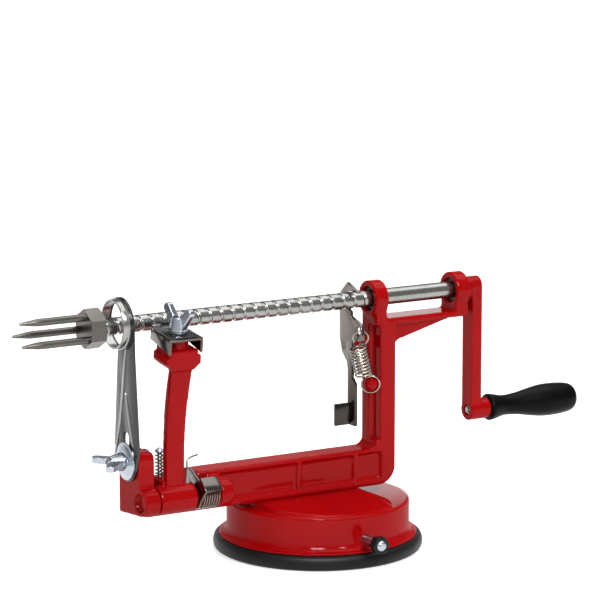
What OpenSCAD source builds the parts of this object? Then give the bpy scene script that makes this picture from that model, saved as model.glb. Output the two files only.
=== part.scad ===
// Hand-cranked apple peeler, corer and slicer on a suction base.
// Origin: centre of the base on the table. +X runs along the shaft to the crank, -Y faces the user.

/* [Base] */
// Outer diameter of the rubber suction cup
cup_d = 100; // [92:1:130]
// Height of the rubber rim under the housing
cup_h = 7.2; // [6:0.1:9]
// Outer diameter of the housing flange
flange_d = 94.4; // [90:0.2:99]
// Outer diameter of the housing wall
wall_d = 87.2; // [82:0.2:92]
// Thickness of the housing wall and top
wall_t = 2.5; // [2:0.1:3.5]
// Height of the housing top above the table
base_h = 24.2; // [22:0.1:28]
// Rise of the plateau that carries the bar
plateau_rise = 3; // [2:0.1:7]
// Length of the plateau along the bar
plateau_l = 57.4; // [45:0.2:62]
// Distance from the base centre to the plateau's end under the column
plateau_end = 20; // [16:0.5:28]
// Radius of the plateau's curved front
plateau_r = 41.4; // [30:0.2:42]
// Diameter of the two screws that hold the bar
foot_screw_d = 5; // [4:0.5:6]
// Distance between those screws
foot_screw_pitch = 44; // [42:0.5:48]

/* [Frame] */
// Height of the shaft axis above the table
shaft_z = 117.5; // [112:0.5:125]
// Height of the bar
bar_h = 18.2; // [15:0.1:20]
// Depth of the bar and column
bar_d = 14; // [12:0.2:16]
// Depth of the bar's front and back panels
panel_t = 2; // [1:0.1:3]
// Distance from the base centre to the column
column_x = 28.5; // [24:0.5:34]
// Width of the column
column_w = 11; // [9:0.2:13]
// Outer radius of the shaft bearings
bearing_r = 8.6; // [8:0.1:10]
// Length of each bearing
bearing_l = 7.2; // [6:0.1:9]
// Distance between the bearings' outer faces
bearing_span = 53.2; // [45:0.2:60]
// Thickness of the bracket under the rear bearing
bracket_t = 3; // [2.4:0.1:5]
// Distance from the base centre to the post's outer face
post_reach = 103.9; // [101:0.1:108]
// Thickness of the post
post_t = 8.3; // [7:0.1:9.5]
// Width of the post
post_w = 20; // [18:0.2:24]
// Height of the post above the bar's underside
post_h = 32.5; // [30:0.5:36]
// Height of the low rail behind the arm
rail_h = 10.8; // [8:0.1:12]
// Radius of the spring peg's ball
peg_r = 3.3; // [2.8:0.1:3.5]

/* [Shaft and fork] */
// Diameter of the shaft
shaft_d = 8; // [7.6:0.1:8.4]
// Pitch of the feed thread
pitch = 6; // [5:0.25:8]
// Depth of the thread groove
groove_d = 0.6; // [0.4:0.1:1.2]
// Outer radius of the bushes
bush_r = 5.8; // [5.2:0.1:6.6]
// Corner radius of the six-sided fork hub
hub_r = 9.4; // [8.8:0.1:9.8]
// Length of the fork hub
hub_l = 7.7; // [6:0.1:10]
// Reach of the fork hub's back face from the base centre
hub_reach = 115.9; // [114:0.1:118]
// Radius of the circle that the prongs stand on
prong_circle = 6; // [5:0.1:6.5]
// Diameter of a prong
prong_d = 3.5; // [3:0.1:4.2]
// Length of a prong outside the hub
prong_l = 33; // [25:0.5:40]

/* [Crank] */
// Length of the crank arm between its axes
crank_l = 60.7; // [55:0.1:64]
// Width of the crank arm
crank_w = 9; // [8:0.1:11]
// Thickness of the crank arm
crank_t = 5.9; // [5:0.1:8]
// Distance from the rear bearing to the crank arm
crank_gap = 3.9; // [2:0.1:8]
// Length of the boss behind the crank arm
crank_boss_l = 5.6; // [3:0.1:8]
// Length of the grip
grip_l = 53; // [40:0.2:70]
// Largest radius of the grip
grip_r = 8; // [6.5:0.1:10]
// Diameter of the grip's axle
grip_axle_d = 5; // [4:0.1:6]

/* [Slicer and corer] */
// Inner radius of the corer ring
ring_r = 10.6; // [10.2:0.1:12]
// Wall of the corer ring
ring_t = 0.9; // [0.6:0.1:1.4]
// Width of the corer ring along the shaft
ring_w = 4; // [3:0.1:5]
// Thickness of the slicer blade
blade_t = 1.2; // [0.8:0.1:2]
// Width of the slicer blade under the ring
blade_top_w = 14.8; // [12:0.1:16]
// Width of the slicer blade at the bolt
blade_low_w = 23; // [18:0.1:25]
// Diameter of the slicer bolt and the holder stud
bolt_d = 5; // [4:0.1:5.6]
// Length of the slicer bolt outside the blade
bolt_out = 9.2; // [8.6:0.1:12]
// Radius of the dished washer
dish_r = 8.7; // [7:0.1:10]

/* [Peeler arm] */
// Distance from the bar's front to the arm's pivot
pivot_out = 8.3; // [7.8:0.1:10]
// Height of the arm's pivot above the bar's underside
pivot_rise = 9.8; // [8:0.1:11]
// Diameter of the pivot pin
pivot_d = 6; // [5:0.1:7]
// Outer radius of the arm's barrel
barrel_r = 6.4; // [5.8:0.1:7]
// Length of the barrel
barrel_l = 18.8; // [16:0.2:20]
// Forward lean of the arm at rest, in degrees
arm_lean = 6.5; // [5:0.1:10]
// Thickness of the arm
arm_t = 4.2; // [3.4:0.1:5]
// Width of the arm's head and of the blade holder
head_w = 17.3; // [15:0.1:19]
// Height of the holder's top above the pivot
holder_rise = 78; // [72:0.5:80]
// Depth of the blade holder
holder_d = 18.8; // [16:0.1:19]
// Thickness of the holder's sheet
holder_t = 1.2; // [0.8:0.1:1.6]
// Thickness of the peeling blade
peel_t = 0.8; // [0.5:0.1:1]
// Thickness of the latch plate
latch_t = 1.4; // [1:0.1:1.8]
// Diameter of the stop screw
stop_d = 2.5; // [2:0.1:3]

/* [Springs] */
// Wire of the arm's torsion spring
torsion_wire = 0.8; // [0.6:0.05:0.85]
// Turns of the torsion spring
torsion_turns = 7; // [5:1:8]
// Pitch of the torsion spring
torsion_pitch = 1.27; // [1.27:0.01:1.35]
// Wire of the release spring
pull_wire = 0.9; // [0.7:0.05:1]
// Turns of the release spring
pull_turns = 10; // [7:1:10]
// Mean radius of the release spring
pull_r = 3.9; // [3.2:0.1:4.1]
// Wire of the stop screw's spring
stop_wire = 0.7; // [0.5:0.05:0.7]
// Turns of the stop screw's spring
stop_turns = 6; // [4:1:7]

/* [Suction mechanism] */
// Height of the cam axle above the table
axle_z = 12.8; // [12:0.1:14]
// Diameter of the cam axle
axle_d = 5.2; // [4:0.1:6]
// Throw of the eccentric
throw = 1.4; // [1:0.1:1.6]
// Length of the suction lever
lever_l = 40; // [30:1:50]

/* [Release plate] */
// Distance from the column to the release plate's back
release_gap = 9.75; // [8:0.05:12]
// Thickness of the release plate
release_t = 1.5; // [1.2:0.1:2]

/* [Hidden] */
$fn = 64;
red = [0.66, 0.09, 0.09];
steel = [0.75, 0.75, 0.74];
nickel = [0.72, 0.69, 0.63];
dark = [0.12, 0.13, 0.13];

// Clearances
run = 0.05;
gap = 0.3;

// Frame
bar_z0 = base_h + plateau_rise;
bar_z1 = bar_z0 + bar_h;
bar_front = -bar_d / 2;
column_x1 = column_x + column_w;
front_x0 = column_x - 1.1;
front_x1 = front_x0 + bearing_l;
rear_x1 = front_x0 + bearing_span;
rear_x0 = rear_x1 - bearing_l;
bracket_z1 = shaft_z - bearing_r - 0.9;
bracket_z0 = bracket_z1 - bracket_t;
post_x0 = -post_reach;
post_x1 = post_x0 + post_t;
post_y0 = bar_front - pivot_out + 0.3;
post_y1 = post_y0 + post_w;
post_z0 = bar_z0 + 1.7;
post_z1 = bar_z0 + post_h;
rail_z1 = bar_z0 + rail_h;
rail_back = bar_front + 12;
bush_in = 1.8;
corner_r = 9;
flange_t = 2.3;
rib_w = 2;
panel_low = 3.2;
panel_high = 2;
rib_xs = [-14, 17];
plateau_mid = plateau_end - plateau_l / 2;
foot_xs = [for (k = [-1, 1]) plateau_mid + k * foot_screw_pitch / 2];
pin_bore_z = bar_z0 + 60;

// Arm pivot and what stands on it, from left to right
pivot_y = bar_front - pivot_out;
pivot_z = bar_z0 + pivot_rise;
barrel_x0 = post_x1 + gap;
barrel_x1 = barrel_x0 + barrel_l;
latch_x0 = barrel_x1 + 0.9;
latch_x1 = latch_x0 + latch_t;
coil_x0 = latch_x1 + gap + torsion_wire / 2;
coil_x1 = coil_x0 + torsion_turns * torsion_pitch;
lug_x0 = coil_x1 + torsion_wire / 2 + gap;
lug_l = 6.5;
lug_x1 = lug_x0 + lug_l;
bar_x0 = lug_x0 - 5.5;
coil_r = barrel_r - torsion_wire / 2;
spigot_r = coil_r - torsion_wire / 2 - 0.9;
arm_x = barrel_x0 + 9.3;

// Arm above the pivot, in its own upright frame
arm_low_w = 9;
arm_top_w = 10.4;
head_z0 = holder_rise - 15.5;
arm_bow = 3;
bow_r = pow(head_z0 - 3, 2) / 8 / arm_bow + arm_bow / 2;
head_z1 = holder_rise - 3;
head_step = holder_rise - 8.5;
head_d = 13;
head_lip = 1.4;
holder_y0 = -4.5;
stud_y = holder_y0 + 8.5;
stud_z0 = head_z0 + 2;
washer_t = 1;
washer_z = holder_rise + peel_t;
holder_nut_z = washer_z + washer_t;
nut_h = 6.4;
nut_r = 4.4;
wing_reach = 9;
curl_r = 3;
curl_a = 75;
curl_y = holder_y0 + holder_d - curl_r * sin(curl_a) - peel_t;

// Stop screw
stop_x = barrel_x0 + 7.7;
stop_y = pivot_y + 10.8;
stop_lug_z0 = rail_z1 + 2.6;
stop_lug_z1 = stop_lug_z0 + 5.2;
stop_head_z = stop_lug_z1 + 11.2;
stop_coil_r = stop_d / 2 + stop_wire / 2 + 0.4;

// Slicer
blade_y = (post_y0 + post_y1) / 2;
bolt_z = post_z1 - 4.7;
blade_x1 = post_x0;
blade_x0 = blade_x1 - blade_t;
dish_h = 2.4;
slicer_nut_x = blade_x0 - dish_h;
lobe_r = ring_r + ring_t + 0.7;
ring_z = shaft_z + 0.8;

// Shaft
shaft_r = shaft_d / 2;
hub_x1 = -hub_reach;
hub_x0 = hub_x1 - hub_l;
tang_l = 4;
tang_r = prong_d * 0.36;
thread_x0 = hub_x1 + 3;
thread_x1 = front_x0 - 2.5;
crank_x0 = rear_x1 + crank_gap;
crank_x1 = crank_x0 + crank_t;
spigot_d = shaft_d - 2;
crank_z = shaft_z - crank_l;
grip_x0 = crank_x1 + crank_boss_l + gap;

// Release plate
release_x1 = column_x - release_gap;
release_x0 = release_x1 - release_t;
release_y = 4.5;
release_z = shaft_z - 22.5;
release_pin_r = 1.6;
peg = [column_x - 2.8, -6, shaft_z - 40.5];

// Suction mechanism
cup_r = cup_d / 2;
wall_r = wall_d / 2;
flange_r = flange_d / 2;
axle_r = axle_d / 2;
eccentric_r = axle_r + throw + 0.2;
eccentric_l = 8;
collar_y = wall_r + 10;
collar_l = 4.6;
lever_y = flange_r + 2;
lever_t = 4.5;
slot_w = eccentric_r + throw + 0.5;
slot_h = eccentric_r + 0.5;
stem_t = 1.2;
stem_z = axle_z - throw - slot_h - 0.5 - stem_t;

// Places and shapes used by many pieces
module box(x0, x1, y0, y1, z0, z1) {
    translate([x0, y0, z0]) cube([x1 - x0, y1 - y0, z1 - z0]);
}

module x_rod(x0, x1, r, y = 0, z = 0) {
    translate([x0, y, z]) rotate([0, 90, 0]) cylinder(r = r, h = x1 - x0);
}

module y_rod(y0, y1, r, x = 0, z = 0) {
    translate([x, y1, z]) rotate([90, 0, 0]) cylinder(r = r, h = y1 - y0);
}

// Children drawn in Y and Z, run from x0 to x1
module yz_slab(x0, x1) {
    translate([x0, 0, 0]) rotate([90, 0, 90]) linear_extrude(x1 - x0) children();
}

// Children drawn in X and Z, run from y0 to y1
module xz_slab(y0, y1) {
    translate([0, y1, 0]) rotate([90, 0, 0]) linear_extrude(y1 - y0) children();
}

// Fills the inner corner at p; sx and sz point out of the corner
module fillet_2d(p, r, sx, sz) {
    translate(p) difference() {
        translate([min(0, sx * r), min(0, sz * r)]) square(r);
        translate([sx * r, sz * r]) circle(r);
    }
}

module on_arm() {
    translate([0, pivot_y, pivot_z]) rotate([arm_lean, 0, 0]) children();
}

function unit(v) = v / norm(v);

// Tube along points, with the section carried along without twist
function tangents(p) = [for (i = [0 : len(p) - 1])
    unit(p[min(i + 1, len(p) - 1)] - p[max(i - 1, 0)])];
function across(v) = unit(cross(v, abs(v[0]) < 0.6 ? [1, 0, 0] : [0, 1, 0]));
function carried(t) = [for (i = 0, n = across(t[0]); i < len(t);
    i = i + 1, n = i < len(t) ? unit(n - t[i] * (n * t[i])) : n) n];

module tube(p, r, sides = 6) {
    t = tangents(p);
    n = carried(t);
    last = len(p) - 1;
    ring = [for (i = [0 : last], k = [0 : sides - 1])
        p[i] + r * (cos(360 * k / sides) * n[i] + sin(360 * k / sides) * cross(t[i], n[i]))];
    walls = [for (i = [0 : last - 1], k = [0 : sides - 1]) let (
        a = i * sides + k, b = i * sides + (k + 1) % sides) each [
        [a, a + sides, b], [b, a + sides, b + sides]]];
    caps = [for (k = [1 : sides - 2]) each [
        [0, k, k + 1], [last * sides, last * sides + k + 1, last * sides + k]]];
    polyhedron(ring, concat(walls, caps));
}

// Least clear distance between stretches of a wire that are more than skip points apart
function self_gap(p, wire, skip) = min([for (i = [0 : len(p) - 1 - skip], j = [i + skip : len(p) - 1])
    norm(p[i] - p[j])]) - wire;

// Frame
module spine_2d() {
    difference() {
        union() {
            translate([bar_x0, bar_z0]) square([column_x1 - bar_x0, bar_h]);
            translate([column_x, bar_z0]) square([column_w, bracket_z1 - bar_z0]);
            fillet_2d([column_x, bar_z1], 4, -1, 1);
            fillet_2d([column_x1, bracket_z0 - 8], 6, 1, -1);
            polygon([[column_x1 - 1, bracket_z0 + 1], [column_x1 - 1, bracket_z0 - 8],
                [column_x1 + 6, bracket_z0 - 8], [column_x1 + 26, bracket_z0 + 0.5]]);
        }
        translate([column_x1, bar_z0]) difference() {
            translate([-corner_r, -1]) square([corner_r + 1, corner_r + 1]);
            translate([-corner_r, corner_r]) circle(corner_r);
        }
    }
}

module panels() {
    edges = concat([lug_x1 - 2], rib_xs, [column_x + 4]);
    for (i = [0 : len(edges) - 2], s = [-1, 1])
        box(edges[i] + rib_w / 2, edges[i + 1] - rib_w / 2,
            s * bar_d / 2 - panel_t, s * bar_d / 2 + panel_t, bar_z0 + panel_low, bar_z1 - panel_high);
}

module gusset_cuts() {
    for (s = [-1, 1])
        box(column_x1, rear_x1, s * bar_d / 2 - 4, s * bar_d / 2 + 4, bar_z1, bracket_z0);
}

module post() {
    r = 3;
    yz_slab(post_x0, post_x1) difference() {
        union() {
            translate([post_y0 + r, pivot_z]) square([post_w - 2 * r, post_z1 - pivot_z]);
            translate([post_y0, pivot_z]) square([post_w, post_z1 - r - pivot_z]);
            polygon([[pivot_y, pivot_z - barrel_r], [post_y1, post_z0], [post_y1, pivot_z + 1],
                [pivot_y, pivot_z + 1]]);
            for (y = [post_y0 + r, post_y1 - r]) translate([y, post_z1 - r]) circle(r);
        }
        translate([blade_y, bolt_z]) circle(bolt_d / 2);
    }
    x_rod(post_x0, post_x1, barrel_r, pivot_y, pivot_z);
}

module bearings() {
    x_rod(front_x0, front_x1, bearing_r, 0, shaft_z);
    x_rod(rear_x0, rear_x1, bearing_r, 0, shaft_z);
    box(column_x, front_x1, bar_front, -bar_front, bracket_z0, shaft_z);
    box(rear_x0, rear_x1, bar_front, -bar_front, bracket_z0, shaft_z);
    box(column_x, rear_x1, bar_front, -bar_front, bracket_z0, bracket_z1);
}

module pivot_lug() {
    x_rod(lug_x0, lug_x1, barrel_r, pivot_y, pivot_z);
    x_rod(latch_x1 + gap, lug_x1, spigot_r, pivot_y, pivot_z);
    box(lug_x0, lug_x1, pivot_y, bar_front + 1, pivot_z - barrel_r, pivot_z + barrel_r);
}

module spring_peg() {
    x_rod(peg[0], column_x + flange_t + 1, 2, peg[1] + 1.2, peg[2]);
    translate(peg) sphere(peg_r);
}

module frame() {
    color(red) difference() {
        union() {
            difference() {
                xz_slab(bar_front, -bar_front) spine_2d();
                gusset_cuts();
                panels();
                box(column_x - 1, column_x + flange_t, bar_front - 1, 0, bar_z1 + 4, shaft_z - bearing_r - 1.5);
            }
            box(post_x1 - 1, bar_x0 + 1, bar_front, rail_back, bar_z0, rail_z1);
            post();
            bearings();
            pivot_lug();
            spring_peg();
            x_rod(release_x1 + gap, column_x + 1, 3, release_y, release_z);
        }
        x_rod(front_x0 - 1, rear_x1 + 1, bush_r + run, 0, shaft_z);
        x_rod(post_x0 - 1, lug_x1 - 1.5, pivot_d / 2, pivot_y, pivot_z);
        x_rod(post_x0 - 1, post_x0 + 2, pivot_d / 2 + 1.5, pivot_y, pivot_z);
        x_rod(release_x0 - 1, column_x + 5, release_pin_r, release_y, release_z);
        for (x = foot_xs)
            translate([x, 0, bar_z0 - 1]) cylinder(d = foot_screw_d, h = 11);
    }
}

// Bushes
module bush(x0) {
    color(dark) difference() {
        x_rod(x0 + bush_in, x0 + bearing_l, bush_r, 0, shaft_z);
        x_rod(x0 - 1, x0 + bearing_l + 1, shaft_r + run, 0, shaft_z);
    }
}

module front_bush() {
    bush(front_x0);
}

module rear_bush() {
    bush(rear_x0);
}

// Threaded rod about X: one strip of land, flank and root wound as a helix, closed at both ends
module feed_thread(x0, x1, r, depth) {
    steps = 20;
    turns = floor((x1 - x0) / pitch) - 1;
    profile = [[0, r], [0.7, r], [0.78, r - depth], [0.92, r - depth]];
    n = len(profile);
    cols = turns * steps;
    function at(i, k) = let (a = 360 * i / steps) [x0 + pitch * (i / steps + profile[k][0]),
        -profile[k][1] * sin(a), profile[k][1] * cos(a)];
    body = [for (i = [0 : cols], k = [0 : n - 1]) at(i, k)];
    tail = [for (i = [cols - steps : cols]) at(i + steps, 0)];
    walls = [for (i = [0 : cols - 1], k = [0 : n - 2]) let (a = i * n + k) each [
        [a, a + 1, a + n], [a + 1, a + n + 1, a + n]]];
    joins = [for (i = [0 : cols - 1]) let (a = i * n + n - 1,
        b = i + steps <= cols ? (i + steps) * n : len(body) + i + steps - cols,
        d = i + 1 + steps <= cols ? (i + 1 + steps) * n : len(body) + i + 1 + steps - cols) each [
        [a, b, a + n], [b, d, a + n]]];
    first = len(body) + len(tail);
    start = concat([for (i = [0 : steps]) i * n], [for (k = [n - 1 : -1 : 1]) k]);
    finish = concat([for (i = [0 : steps]) len(body) + i],
        [for (k = [n - 1 : -1 : 0]) cols * n + k]);
    caps = concat(
        [for (i = [0 : len(start) - 1]) [first, start[i], start[(i + 1) % len(start)]]],
        [for (i = [0 : len(finish) - 2]) [first + 1, finish[i + 1], finish[i]]]);
    ends = [[x0 + pitch / 2, 0, 0], [at(cols, 0)[0] + pitch / 2, 0, 0]];
    polyhedron(concat(body, tail, ends), concat(walls, joins, caps));
}

module drive_shaft() {
    color(steel) {
        x_rod(hub_x0, thread_x0 + pitch, shaft_r, 0, shaft_z);
        x_rod(thread_x1 - pitch, crank_x0, shaft_r, 0, shaft_z);
        x_rod(crank_x0 - 1, crank_x1, spigot_d / 2, 0, shaft_z);
        translate([0, 0, shaft_z]) feed_thread(thread_x0 - pitch, thread_x1 + pitch, shaft_r - 0.02, groove_d);
    }
}

module fork_hub() {
    color(steel) difference() {
        translate([hub_x0, 0, shaft_z]) rotate([0, 90, 0]) cylinder(r = hub_r, h = hub_l, $fn = 6);
        x_rod(hub_x0 - 1, hub_x1 + 1, shaft_r, 0, shaft_z);
        prong_places() x_rod(hub_x0 - 1, hub_x0 + tang_l, tang_r);
    }
}

module prong_places() {
    for (a = [18, 138, 258])
        translate([0, -prong_circle * sin(a), shaft_z + prong_circle * cos(a)]) children();
}

module fork_prongs() {
    point_l = 8.5;
    color(steel) prong_places() {
        x_rod(hub_x0 - prong_l + point_l, hub_x0 - gap, prong_d / 2);
        x_rod(hub_x0 - gap - 1, hub_x0 + tang_l, tang_r);
        translate([hub_x0 - prong_l, 0, 0]) rotate([0, 90, 0])
            cylinder(r1 = 0.6, r2 = prong_d / 2, h = point_l);
    }
}

// Crank
module crank_arm() {
    color(red) difference() {
        union() {
            yz_slab(crank_x0, crank_x1) {
                translate([-crank_w / 2, crank_z]) square([crank_w, crank_l + 1]);
                translate([0, crank_z]) circle(crank_w / 2);
                translate([0, shaft_z + 1]) circle(crank_w / 2);
            }
            x_rod(crank_x0, crank_x1 + crank_boss_l, crank_w / 2 + 0.6, 0, crank_z);
            x_rod(rear_x1 + 0.8, crank_x0 + 1, crank_w / 2 + 0.7, 0, shaft_z);
        }
        x_rod(rear_x1, crank_x0, shaft_r, 0, shaft_z);
        x_rod(crank_x0 - 1, crank_x1 + 1, spigot_d / 2, 0, shaft_z);
        x_rod(crank_x0 - 1, grip_x0 + 1, grip_axle_d / 2, 0, crank_z);
    }
}

module grip_axle() {
    color(steel) x_rod(crank_x0, grip_x0 + grip_l * 0.8, grip_axle_d / 2, 0, crank_z);
}

// Grip radius at share t of its length: collar, neck, bulge, round end
function grip_radius(t) = grip_r * (t < 0.2 ? 0.62 + 0.2 * (1 + cos(180 * t / 0.2)) / 2 :
    t < 0.7 ? 0.62 + 0.38 * (1 - cos(180 * (t - 0.2) / 0.5)) / 2 :
    sqrt(max(0, 1 - pow((t - 0.7) / 0.3, 3.6))));

module crank_grip() {
    steps = 30;
    outline = [for (i = [0 : steps]) let (t = i / steps) [grip_radius(t), grip_l * t]];
    color(dark) translate([grip_x0, 0, crank_z]) rotate([0, 90, 0]) difference() {
        rotate_extrude() polygon(concat([[0, 0]], outline));
        translate([0, 0, -1]) cylinder(d = grip_axle_d + 2 * run, h = grip_l * 0.8 + 1.3);
    }
}

// Slicer and corer
module slicer_blade() {
    top = ring_z - lobe_r + 1.5;
    foot = bolt_z + 6;
    low_r = blade_low_w / 2 - 2;
    color(steel) yz_slab(blade_x0, blade_x1) difference() {
        union() {
            translate([0, ring_z]) circle(lobe_r);
            polygon([[blade_y + blade_top_w / 2, top], [blade_y - blade_top_w / 2, shaft_z],
                [blade_y - blade_top_w / 2, top], [blade_y - blade_low_w / 2, foot],
                [blade_y - low_r, bolt_z], [blade_y + low_r, bolt_z], [blade_y + blade_low_w / 2, foot]]);
            translate([blade_y, bolt_z]) intersection() {
                circle(low_r);
                translate([-low_r, -low_r]) square([2 * low_r, low_r]);
            }
        }
        translate([0, ring_z]) circle(ring_r);
        for (z = [bolt_z, bolt_z + 11]) translate([blade_y, z]) circle(bolt_d / 2 + 0.15);
        translate([blade_y - bolt_d / 2 - 0.15, bolt_z]) square([bolt_d + 0.3, 11]);
    }
}

module corer_ring() {
    color(steel) translate([blade_x0 - ring_w, 0, ring_z]) rotate([0, 90, 0]) rotate_extrude()
        polygon([[ring_r, 0], [ring_r + ring_t, 0], [ring_r + ring_t, ring_w - 1.4],
            [ring_r + ring_t + 0.5, ring_w - 1], [ring_r + ring_t, ring_w - 0.6],
            [ring_r + ring_t, ring_w], [ring_r, ring_w]]);
}

module slicer_bolt() {
    head = 2.6;
    color(steel) {
        x_rod(blade_x0 - bolt_out, post_x1, bolt_d / 2, blade_y, bolt_z);
        translate([post_x1, blade_y, bolt_z]) rotate([0, 90, 0])
            cylinder(r1 = bolt_d * 0.95, r2 = bolt_d * 0.6, h = head);
    }
}

module slicer_washer() {
    hole = bolt_d / 2 + 0.1;
    color(steel) translate([blade_x0, blade_y, bolt_z]) rotate([0, -90, 0]) rotate_extrude()
        polygon([[hole, dish_h - 1], [dish_r - 1.2, 0], [dish_r, 0], [dish_r, 0.9], [dish_r - 1, 0.9],
            [5, dish_h], [hole, dish_h]]);
}

// Wing nut on +Z, wings along X
module wing_nut() {
    difference() {
        union() {
            cylinder(r1 = nut_r, r2 = nut_r * 0.72, h = nut_h);
            for (a = [0, 180]) rotate([0, 0, a]) xz_slab(-1.5, 1.5) {
                polygon([[0, 0.8], [nut_r - 0.4, 0.8], [wing_reach, 8.6], [wing_reach - 3.4, 10.8],
                    [1, 5.2], [0, 5.2]]);
                translate([wing_reach - 2, 9.4]) circle(2);
            }
        }
        translate([0, 0, -1]) cylinder(r = bolt_d / 2 + run, h = 14);
    }
}

module slicer_wing_nut() {
    color(steel) translate([slicer_nut_x - 0.1, blade_y, bolt_z]) rotate([-84, 0, 0]) rotate([0, -90, 0])
        wing_nut();
}

// Peeler arm
module peeler_arm() {
    lug_w = 8.8;
    color(red) difference() {
        union() {
            x_rod(barrel_x0, barrel_x1, barrel_r, pivot_y, pivot_z);
            box(stop_x - lug_w / 2, stop_x + lug_w / 2, pivot_y, stop_y + 3.6, stop_lug_z0, stop_lug_z1);
            on_arm() {
                intersection() {
                    xz_slab(-head_d, head_d) translate([arm_x, 0])
                        polygon([[-arm_low_w / 2, 3], [arm_low_w / 2, 3], [arm_top_w / 2, head_z0 + 2],
                            [-arm_top_w / 2, head_z0 + 2]]);
                    yz_slab(arm_x - head_w, arm_x + head_w) translate([arm_bow - bow_r, head_z0 / 2 + 1.5])
                        difference() {
                            circle(bow_r + arm_t / 2, $fn = 360);
                            circle(bow_r - arm_t / 2, $fn = 360);
                        }
                }
                xz_slab(-arm_t / 2 - head_lip, head_d - arm_t / 2) translate([arm_x, 0]) polygon([
                    [-arm_top_w / 2, head_z0], [arm_top_w / 2, head_z0], [head_w / 2, head_z0 + 3],
                    [head_w / 2, head_step], [head_w / 2 - holder_t - gap, head_step],
                    [head_w / 2 - holder_t - gap, head_z1], [holder_t + gap - head_w / 2, head_z1],
                    [holder_t + gap - head_w / 2, head_step], [-head_w / 2, head_step],
                    [-head_w / 2, head_z0 + 3]]);
                translate([arm_x, stud_y, head_z1 - 1]) cylinder(r = 5, h = holder_rise - holder_t - head_z1 + 1);
            }
        }
        x_rod(barrel_x0 - 1, barrel_x1 + 1, pivot_d / 2 + run, pivot_y, pivot_z);
        translate([stop_x, stop_y, stop_lug_z0 - 1]) cylinder(d = stop_d + 2 * run, h = 8);
        on_arm() translate([arm_x, stud_y, stud_z0]) cylinder(d = bolt_d, h = holder_rise - stud_z0);
    }
}

module arm_pivot_pin() {
    color(steel) x_rod(post_x0 + 2, lug_x1 - 1.5, pivot_d / 2, pivot_y, pivot_z);
}

module blade_holder() {
    back = holder_y0 + holder_d;
    color(nickel) on_arm() translate([arm_x, 0, 0]) difference() {
        union() {
            box(-head_w / 2, head_w / 2, holder_y0, back, holder_rise - holder_t, holder_rise);
            for (x = [-head_w / 2, head_w / 2 - holder_t])
                yz_slab(x, x + holder_t) polygon([[holder_y0, holder_rise], [back, holder_rise],
                    [back, holder_rise - 4.3], [holder_y0, holder_rise - 7]]);
        }
        translate([0, stud_y, 0]) cylinder(d = bolt_d + 0.2, h = holder_rise + 1);
    }
}

// Flat under the nut, then curled up at its back edge
module peeling_blade() {
    color(steel) on_arm() difference() {
        yz_slab(arm_x - head_w / 2 + 0.4, arm_x + head_w / 2 - 2.4) {
            translate([holder_y0 + 1, holder_rise]) square([curl_y - holder_y0 - 1, peel_t]);
            translate([curl_y, holder_rise + peel_t + curl_r]) difference() {
                circle(curl_r + peel_t);
                circle(curl_r);
                translate([-2 * curl_r - 0.3, -2 * curl_r]) square([2 * curl_r, 4 * curl_r]);
                rotate(curl_a - 90) square([3 * curl_r, 3 * curl_r]);
                translate([-1, 0]) square([3 * curl_r, 3 * curl_r]);
            }
        }
        translate([arm_x, stud_y, 0]) cylinder(d = bolt_d + 0.2, h = holder_rise + 2);
    }
}

module holder_stud() {
    color(steel) on_arm() translate([arm_x, stud_y, stud_z0])
        cylinder(d = bolt_d, h = holder_nut_z + nut_h - 0.6 - stud_z0);
}

module holder_washer() {
    color(steel) on_arm() translate([arm_x, stud_y, washer_z]) difference() {
        cylinder(r = nut_r, h = washer_t);
        translate([0, 0, -1]) cylinder(d = bolt_d + 0.2, h = washer_t + 2);
    }
}

module holder_wing_nut() {
    color(steel) on_arm() translate([arm_x, stud_y, holder_nut_z + 0.1]) rotate([0, 0, 104]) wing_nut();
}

// Stop screw
module stop_screw() {
    color(steel) translate([stop_x, stop_y, 0]) {
        translate([0, 0, rail_z1 + gap]) cylinder(d = stop_d, h = stop_head_z - rail_z1 - gap);
        translate([0, 0, stop_head_z]) cylinder(r = 2.4, h = 0.8);
        translate([0, 0, stop_head_z + 0.8]) intersection() {
            translate([0, 0, -1.4]) sphere(2.78);
            cylinder(r = 3, h = 3);
        }
    }
}

// Points of a coil on +Z from z0 to z1, with a straight end of one wire at each end
function coil(r, z0, z1, turns, wire, a0 = 0) = let (n = 8 * turns,
    helix = [for (i = [0 : n]) let (a = a0 + 360 * i / 8) [r * cos(a), r * sin(a), z0 + (z1 - z0) * i / n]],
    d0 = [-sin(a0), cos(a0), 0], d1 = [-sin(a0 + 360 * turns), cos(a0 + 360 * turns), 0])
    concat([helix[0] - wire * d0], helix, [helix[n] + wire * d1]);

stop_path = coil(stop_coil_r, stop_lug_z1 + stop_wire / 2 + 0.2, stop_head_z - stop_wire / 2 - 0.2,
    stop_turns, stop_wire);

module stop_spring() {
    color(nickel) translate([stop_x, stop_y, 0]) tube(stop_path, stop_wire / 2);
}

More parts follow.
